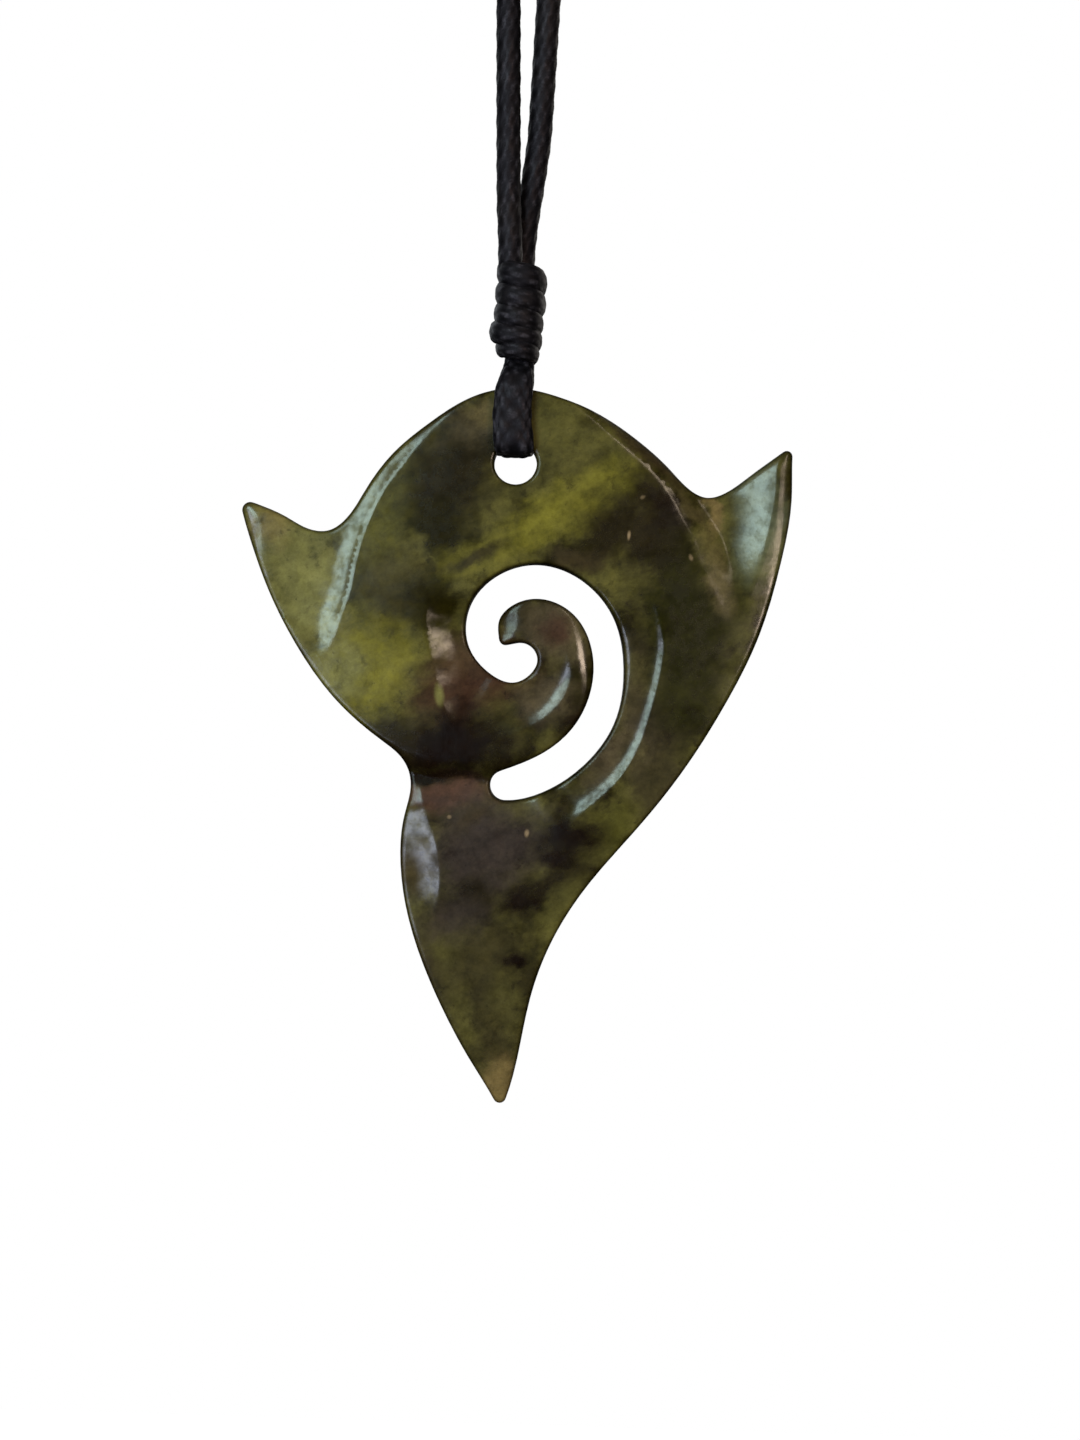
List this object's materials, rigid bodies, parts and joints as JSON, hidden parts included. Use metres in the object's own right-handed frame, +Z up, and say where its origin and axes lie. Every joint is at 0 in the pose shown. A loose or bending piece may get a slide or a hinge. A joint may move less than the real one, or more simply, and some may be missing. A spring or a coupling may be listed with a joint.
{
  "type": "koru pendant necklace",
  "caption": "Carved green stone koru pendant with a cut-through spiral and a long pointed tail, hung by a whipped knot on a black waxed cord loop.",
  "frame": {"origin": "underside of the cord at the top of the loop, where it hangs over a peg or round the back of a neck", "axes": "+Z up along the hanging cord, the front of the stone towards -Y, +X to the right seen from the front"},
  "size_m": [0.0438, 0.0068, 0.363],
  "materials": {
    "jade": "polished",
    "waxed_cord": "waxed"
  },
  "bodies": {
    "cord": {"neck_cord": "waxed_cord", "whipping_knot": "waxed_cord", "bail_cord": "waxed_cord"},
    "pendant": {"koru_pendant": "jade"}
  },
  "joints": [
    {"name": "pendant_swing", "type": "hinge", "parent": "cord", "child": "pendant", "pos_m": [0, 0, -0.31], "axis": [0, 1, 0], "range_deg": [-25, 25]}
  ]
}
